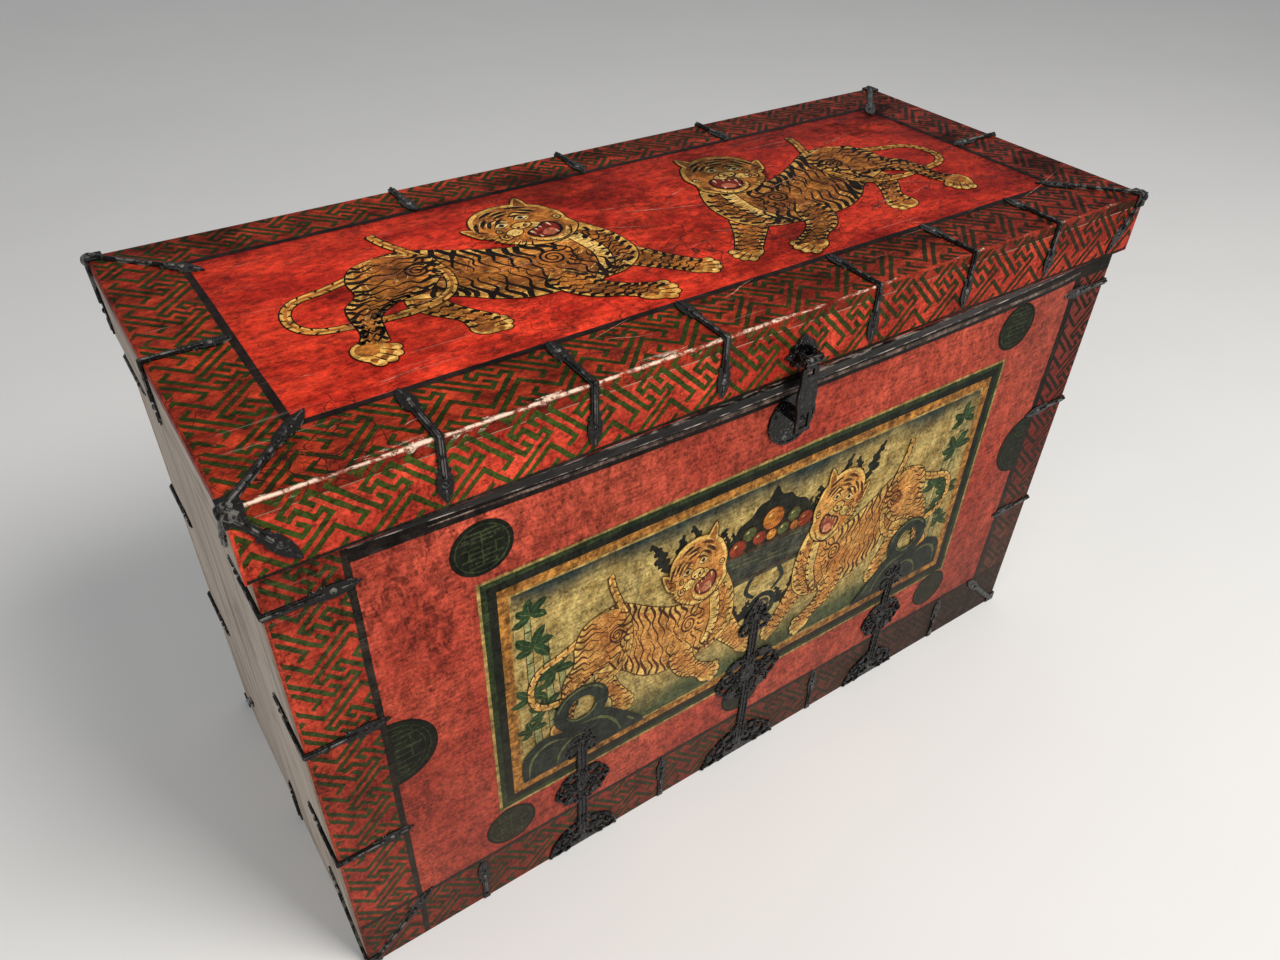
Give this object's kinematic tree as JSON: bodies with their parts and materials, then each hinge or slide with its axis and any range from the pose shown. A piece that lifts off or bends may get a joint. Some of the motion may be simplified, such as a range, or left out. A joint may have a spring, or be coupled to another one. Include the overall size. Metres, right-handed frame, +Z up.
{
  "type": "storage trunk",
  "caption": "Painted wooden trunk with a hinged shallow lid, forged iron straps and corner irons, pierced mounts and a hasp over a staple for a padlock.",
  "frame": {"origin": "middle of the box's underside, where it rests on the floor, midway along the lid and midway between the lid's front and back faces", "axes": "+X along the front to the viewer's right, +Y from the front to the back, +Z up"},
  "size_m": [1.108, 0.5013, 0.707],
  "materials": {
    "painted_board": "worn red paint over wood",
    "bare_board": "dry, unpainted",
    "dark_board": "worn dark paint",
    "forged_iron": "blackened, satin"
  },
  "bodies": {
    "box": {"front_panel": "painted_board", "front_edge_board": "painted_board", "back_board": "bare_board", "left_side": "bare_board", "right_side": "bare_board", "bottom_board": "bare_board", "front_rim": "dark_board", "left_edge_straps": "forged_iron", "right_edge_straps": "forged_iron", "rear_left_edge_straps": "forged_iron", "rear_right_edge_straps": "forged_iron", "front_bottom_straps": "forged_iron", "side_bottom_straps": "forged_iron", "back_bottom_straps": "forged_iron", "front_left_foot_iron": "forged_iron", "front_right_foot_iron": "forged_iron", "rear_left_foot_iron": "forged_iron", "rear_right_foot_iron": "forged_iron", "left_pierced_mount": "forged_iron", "middle_pierced_mount": "forged_iron", "right_pierced_mount": "forged_iron", "lock_plate": "forged_iron", "lock_staple": "forged_iron", "front_nails": "forged_iron", "left_side_nails": "forged_iron", "right_side_nails": "forged_iron", "back_nails": "forged_iron", "left_hinge_box_leaf": "forged_iron", "right_hinge_box_leaf": "forged_iron", "left_hinge_pin": "forged_iron", "right_hinge_pin": "forged_iron"},
    "lid": {"lid_top": "painted_board", "lid_front_apron": "painted_board", "lid_back_apron": "bare_board", "lid_left_apron": "bare_board", "lid_right_apron": "bare_board", "lid_battens": "bare_board", "lid_front_straps": "forged_iron", "lid_back_straps": "forged_iron", "lid_left_strap": "forged_iron", "lid_right_strap": "forged_iron", "lid_front_left_corner": "forged_iron", "lid_front_right_corner": "forged_iron", "lid_rear_left_corner": "forged_iron", "lid_rear_right_corner": "forged_iron", "lid_top_nails": "forged_iron", "lid_apron_nails": "forged_iron", "left_hinge_lid_leaf": "forged_iron", "right_hinge_lid_leaf": "forged_iron", "hasp_eye_plate": "forged_iron", "hasp_pin": "forged_iron"},
    "hasp": {"hasp": "forged_iron"}
  },
  "joints": [
    {"name": "lid_hinge", "type": "hinge", "parent": "box", "child": "lid", "pos_m": [0, 0.2403, 0.62985], "axis": [-1, 0, 0], "range_deg": [0, 100]},
    {"name": "hasp_hinge", "type": "hinge", "parent": "lid", "child": "hasp", "pos_m": [0.001, -0.25, 0.656], "axis": [-1, 0, 0], "range_deg": [-11, 150]}
  ]
}
